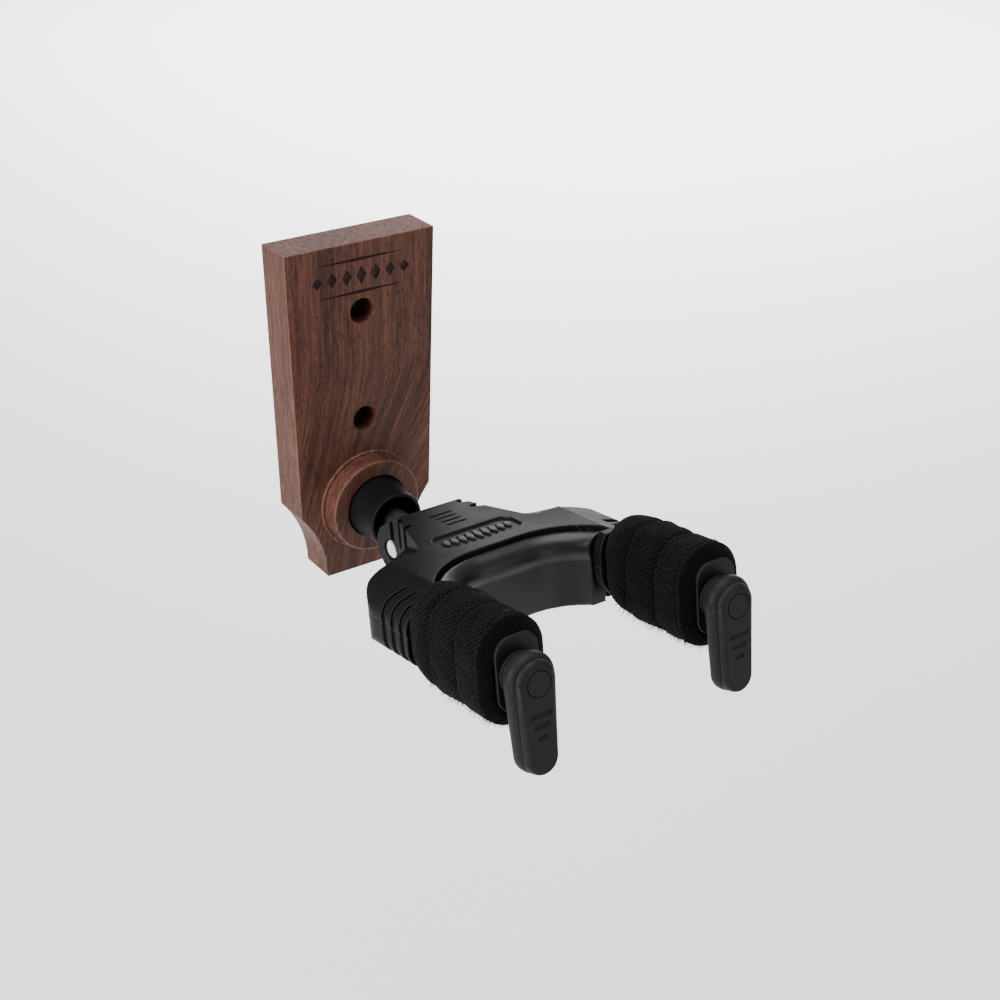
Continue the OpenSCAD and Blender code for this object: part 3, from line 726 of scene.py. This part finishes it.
def pad_mesh(side):
    """A closed ring of quads round the arm, in the arm's own frame."""
    around, steps = 132, 92
    rows = pad_rows(steps)
    seed = Vector((7.3 * side, 1.7, 3.1))
    verts, weave, hold = [], [], []
    travel = 0.0
    for kind, along, share in rows:
        for k in range(around):
            t = k / around
            if kind == "side":
                hw, hh = PAD_HW, PAD_HH
            elif kind == "rear":
                behind = REAR_TAPER + REAR_ROUND
                hw = CORE_HW + (PAD_HW - behind - CORE_HW) * share
                hh = CORE_HH + (PAD_HH - behind - 0.3 - CORE_HH) * share
            else:
                hw = CORE_HW - 0.5 + (PAD_HW - RIM_ROUND - CORE_HW + 0.5) * share
                hh = CORE_HH - 0.4 + (PAD_HH - RIM_ROUND - CORE_HH + 0.4) * share
            (x, z), (nx, nz), total = stadium_point(hw, hh, t)
            depth, grip = 0.0, 1.0
            if kind == "side":
                ring = Vector((nx * 1.2, nz * 1.2, 0)) + seed
                swing = 1.5 * noise.noise(ring)
                depth, grip = band_inset(along, swing)
                # The creases grow shallower on the upper outer shoulder
                if CREASE - 6 < along < PAD_RIM - 6:
                    depth *= 1 - 0.45 * max(0.0, nz) * max(0.0, side * nx + 0.6) / 1.6
                depth += 0.28 * noise.noise(Vector((x * 0.07, along * 0.16, z * 0.07)) + seed)
                # Short slack folds on the upper side
                slack = noise.noise(Vector((x * 0.10, along * 0.30, z * 0.22)) + seed * 3)
                depth += 0.55 * max(0.0, slack) * max(0.0, nz * 0.6 + 0.5) + 0.3
            elif kind == "front":
                depth = -0.25 * math.sin(share * math.pi)
            sag = 0.35 if nz < -0.5 else 0.0
            verts.append((x - nx * depth, PAD_START - along, z - nz * depth - sag - PAD_DROP))
            weave.append((t * total, travel))
            hold.append(grip)
        travel += PAD_RIM / steps if kind == "side" else 1.0
    count = len(rows)
    faces = []
    for i in range(count):
        j = (i + 1) % count
        for k in range(around):
            l = (k + 1) % around
            faces.append((i * around + k, i * around + l, j * around + l, j * around + k))
    mesh = bpy.data.meshes.new("pad")
    mesh.from_pydata([Vector(v) * MM for v in verts], [], faces)
    layer = mesh.uv_layers.new(name="weave")
    wrap = weave[around - 1][0] + weave[1][0]
    for poly in mesh.polygons:
        seam = poly.index % around == around - 1
        last = poly.index // around == count - 1
        for loop in poly.loop_indices:
            v = mesh.loops[loop].vertex_index
            u_here, v_here = weave[v]
            if seam and v % around == 0:
                u_here = wrap
            if last and v // around == 0:
                v_here = weave[-1][1] + 1
            layer.data[loop].uv = (u_here * MM, v_here * MM)
    mesh.update()
    return mesh, hold


def inflate(piece, hold, cap):
    """Cloth under pressure: the bands between the creases swell, by cap
    at most."""
    start = [v.co.copy() for v in piece.data.vertices]
    group = piece.vertex_groups.new(name="held")
    for index, weight in enumerate(hold):
        group.add([index], weight, "REPLACE")
    cloth = piece.modifiers.new("cloth", "CLOTH")
    settings = cloth.settings
    settings.quality = 6
    settings.mass = 0.2
    settings.tension_stiffness = 12
    settings.compression_stiffness = 12
    settings.shear_stiffness = 5
    settings.bending_stiffness = 0.4
    settings.vertex_group_mass = "held"
    settings.pin_stiffness = 1.0
    settings.use_pressure = True
    settings.uniform_pressure_force = 5
    settings.shrink_min = -0.006
    settings.effector_weights.gravity = 0
    cloth.collision_settings.use_collision = False
    cloth.collision_settings.use_self_collision = False
    scene = bpy.context.scene
    for number in range(1, 21):
        scene.frame_set(number)
    settle(piece)
    scene.frame_set(1)
    for vertex, was in zip(piece.data.vertices, start):
        move = vertex.co - was
        if move.length > cap:
            vertex.co = was + move * (cap / move.length)


def fuzz(piece, side, count):
    """Short loose fibres on the pad, thickest underneath."""
    rng = random.Random(40 + side)
    mesh = piece.data
    low = min(v.co.z for v in mesh.vertices)
    high = max(v.co.z for v in mesh.vertices)
    faces = mesh.polygons
    weights = []
    for p in faces:
        down = max(0.0, -p.normal.z)
        depth = 1 - (p.center.z - low) / (high - low)
        weights.append(p.area * (0.3 + 14.0 * down * max(0.0, depth - 0.6)))
    picks = rng.choices(range(len(faces)), weights, k=count)
    verts, quads = [], []
    for index in picks:
        p = faces[index]
        corners = [mesh.vertices[v].co for v in p.vertices]
        a, b = rng.random(), rng.random()
        root = corners[0].lerp(corners[1], a).lerp(corners[3].lerp(corners[2], a), b)
        normal = p.normal
        depth = 1 - (root.z - low) / (high - low)
        long = rng.uniform(0.35, 0.8)
        if depth > 0.86 and rng.random() < 0.6:
            long += rng.uniform(0.2, 1.7)
        lean = Vector((rng.uniform(-1, 1), rng.uniform(-1, 1), rng.uniform(-1, 1)))
        side_way = normal.cross(lean).normalized()
        width = rng.uniform(0.06, 0.12) * MM
        base = len(verts)
        for step in range(4):
            f = step / 3
            bend = lean * (1.1 * f * f)
            centre = root - normal * 0.15 * MM + (normal * f + bend) * long * MM
            w = width * (1 - 0.75 * f)
            verts.append(centre - side_way * w)
            verts.append(centre + side_way * w)
        for step in range(3):
            i = base + 2 * step
            quads.append((i, i + 1, i + 3, i + 2))
    made = bpy.data.meshes.new("fuzz")
    made.from_pydata(verts, [], quads)
    made.update()
    return made


def add_pad(side):
    word = SIDE_NAMES[side]
    mesh, hold = pad_mesh(side)
    pad = add_object(f"knitted_pad_{word}", mesh)
    inflate(pad, hold, 1.3 * MM)
    pad.vertex_groups.clear()
    finer = pad.modifiers.new("finer", "SUBSURF")
    finer.levels = finer.render_levels = 1
    settle(pad)
    fibres = add_object(f"pad_fuzz_{word}", fuzz(pad, side, 5200))
    for piece, material in ((pad, "knit_fabric"), (fibres, "fuzz")):
        piece.data.transform(arm_matrix(side))
        paint(piece, material)
    pad.data.shade_smooth()
    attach(pad, "yoke")
    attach(fibres, "yoke")
    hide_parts(f"pad_sleeve_{word}", f"pad_foam_{word}")


for side in (LEFT, RIGHT):
    add_pad(side)


# ---- Stage ----

FLOOR_Z, FLOOR_HALF = -0.62, 6.0
MIDDLE = (0, -0.1, -0.04)       # about the middle of the object
# name, place, aim, size, watts
LIGHTS = (("key_left", (-1.35, -0.2, 0.35), MIDDLE, (0.8, 1.2), 34),
          ("top", (0.0, -0.15, 1.7), (0.0, -0.15, FLOOR_Z), (1.6, 1.6), 46),
          ("fill_front", (0.5, -1.5, 0.1), MIDDLE, (1.2, 0.9), 7),
          ("floor", (2.2, 2.6, 0.45), (2.2, 2.6, FLOOR_Z), (3.2, 3.2), 240))


def area_light(name, place, aim, size, watts):
    data = bpy.data.lights.new(name, "AREA")
    data.shape = "RECTANGLE"
    data.size, data.size_y = size
    data.energy = watts
    lamp = add_object(name, data)
    lamp.location = place
    lamp.rotation_euler = (Vector(aim) - Vector(place)).to_track_quat("-Z", "Y").to_euler()


def add_floor():
    mesh = bpy.data.meshes.new("floor")
    corners = [(x * FLOOR_HALF, y * FLOOR_HALF, FLOOR_Z)
               for x, y in ((-1, -1), (1, -1), (1, 1), (-1, 1))]
    mesh.from_pydata(corners, [], [(0, 1, 2, 3)])
    floor = add_object("floor", mesh)
    s = Shader("floor_paper")
    grain = s.noise(s.coords(), 900, 3, 0.6)
    mesh.materials.append(s.finish(s.mix(grain, grey(0.93), grey(0.96)), 0.9))


def add_camera():
    data = bpy.data.cameras.new("camera")
    data.sensor_width = 36
    data.lens = 60.10
    camera = add_object("camera", data)
    forward = Vector((0.51045, 0.71721, -0.47440)).normalized()
    right = forward.cross(Vector((0, 0, 1))).normalized()
    up = right.cross(forward)
    roll = math.radians(1.02)
    rolled_right = right * math.cos(roll) + up * math.sin(roll)
    rolled_up = up * math.cos(roll) - right * math.sin(roll)
    turn = Matrix((rolled_right, rolled_up, -forward)).transposed().to_4x4()
    place = Vector((-350.93, -621.60, 305.77)) * MM
    camera.matrix_world = Matrix.Translation(place) @ turn
    bpy.context.scene.camera = camera


def add_world():
    world = bpy.data.worlds.new("studio")
    world.use_nodes = True
    back = world.node_tree.nodes["Background"]
    back.inputs[0].default_value = (1, 1, 1, 1)
    back.inputs[1].default_value = 0.4
    bpy.context.scene.world = world


add_floor()
add_camera()
add_world()
for light in LIGHTS:
    area_light(*light)
